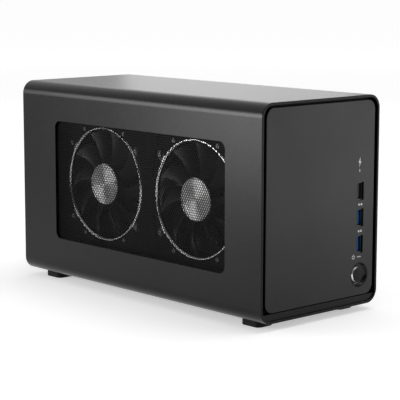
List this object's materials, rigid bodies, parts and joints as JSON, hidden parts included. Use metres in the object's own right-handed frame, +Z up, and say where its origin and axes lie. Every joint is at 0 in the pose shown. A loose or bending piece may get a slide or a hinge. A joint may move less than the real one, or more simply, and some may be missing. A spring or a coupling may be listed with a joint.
{
  "type": "external graphics card enclosure",
  "caption": "Desktop case with a rounded metal sleeve, a meshed side window onto a graphics card with fans, and a front panel with a port column and power button.",
  "frame": {"origin": "on the floor under the middle of the case", "axes": "+X to the right seen from the front, +Y to the back, +Z up; the port panel faces -Y and the window faces -X"},
  "size_m": [0.125, 0.285, 0.1655],
  "materials": {
    "sleeve_metal": "fine matt anodised dark grey",
    "panel_metal": "satin dark grey",
    "mesh_metal": "matt black",
    "dark_plastic": "matt black",
    "frame_plastic": "satin dark grey",
    "fan_plastic": "satin black",
    "blue_plastic": "satin blue",
    "foot_rubber": "matt black",
    "plated_steel": "zinc plated",
    "black_steel": "fine textured black",
    "bright_trim": "spun and bright",
    "button_metal": "satin dark grey",
    "circuit_board": "satin",
    "bare_aluminium": "milled",
    "chip_top": "polished"
  },
  "bodies": {
    "case": {"outer_sleeve": "sleeve_metal", "side_mesh": "mesh_metal", "foot_front_left": "foot_rubber", "foot_front_right": "foot_rubber", "foot_rear_left": "foot_rubber", "foot_rear_right": "foot_rubber", "foot_screws": "plated_steel", "front_frame": "frame_plastic", "front_panel": "panel_metal", "front_board": "circuit_board", "front_board_screws": "plated_steel", "lower_data_port_shell": "plated_steel", "lower_data_port_tongue": "blue_plastic", "upper_data_port_shell": "plated_steel", "upper_data_port_tongue": "blue_plastic", "charge_port_shell": "plated_steel", "charge_port_tongue": "dark_plastic", "button_bezel": "button_metal", "switch_body": "dark_plastic", "button_spring": "plated_steel", "link_socket": "dark_plastic", "tray_rail_left": "plated_steel", "tray_rail_right": "plated_steel", "back_lug_left": "plated_steel", "back_lug_right": "plated_steel"},
    "power_button": {"power_button": "button_metal"},
    "exhaust_fan": {"exhaust_fan": "fan_plastic"},
    "rocker": {"rocker": "dark_plastic"},
    "slot_latch": {"slot_latch": "dark_plastic"},
    "rear_card_fan": {"rear_fan": "fan_plastic", "rear_hub_cap": "bright_trim"},
    "front_card_fan": {"front_fan": "fan_plastic", "front_hub_cap": "bright_trim"},
    "chassis": {"chassis_tray": "plated_steel", "back_plate": "black_steel", "thumb_screws": "plated_steel", "chassis_screws": "plated_steel", "main_board": "circuit_board", "board_standoffs": "plated_steel", "card_slot": "dark_plastic", "controller_cooler": "bare_aluminium", "link_port": "plated_steel", "supply_case": "black_steel", "exhaust_fan_frame": "dark_plastic", "power_inlet": "dark_plastic", "inlet_pins": "bright_trim", "rocker_frame": "dark_plastic", "card_board": "circuit_board", "graphics_chip": "chip_top", "heatsink": "bare_aluminium", "card_backplate": "black_steel", "card_power_socket": "dark_plastic", "card_shroud": "fan_plastic", "rear_fan_ring": "bright_trim", "rear_fan_base": "fan_plastic", "front_fan_ring": "bright_trim", "front_fan_base": "fan_plastic", "fan_screws": "plated_steel", "card_bracket": "plated_steel", "display_ports": "plated_steel"}
  },
  "joints": [
    {"name": "power_button_press", "type": "slide", "parent": "case", "child": "power_button", "axis": [0, 1, 0], "range_m": [0, 0.0012], "stiffness_N_per_m": 1500, "springref_m": -0.0006, "deforming": ["button_spring"]},
    {"name": "chassis_slide", "type": "slide", "parent": "case", "child": "chassis", "axis": [0, 1, 0], "range_m": [0, 0.291]},
    {"name": "rear_card_fan_spin", "type": "hinge", "parent": "chassis", "child": "rear_card_fan", "pos_m": [-0.0529, 0.047, 0.0872], "axis": [-1, 0, 0], "continuous": true},
    {"name": "front_card_fan_spin", "type": "hinge", "parent": "chassis", "child": "front_card_fan", "pos_m": [-0.0529, -0.062, 0.0872], "axis": [-1, 0, 0], "continuous": true},
    {"name": "exhaust_fan_spin", "type": "hinge", "parent": "chassis", "child": "exhaust_fan", "pos_m": [0.02575, 0.129, 0.085], "axis": [0, 1, 0], "continuous": true},
    {"name": "rocker_tilt", "type": "hinge", "parent": "chassis", "child": "rocker", "pos_m": [0.04375, 0.1285, 0.043], "axis": [1, 0, 0], "range_deg": [0, 16]},
    {"name": "slot_latch_turn", "type": "hinge", "parent": "chassis", "child": "slot_latch", "pos_m": [-0.0166, -0.0105, 0.0218], "axis": [1, 0, 0], "range_deg": [0, 25]}
  ]
}
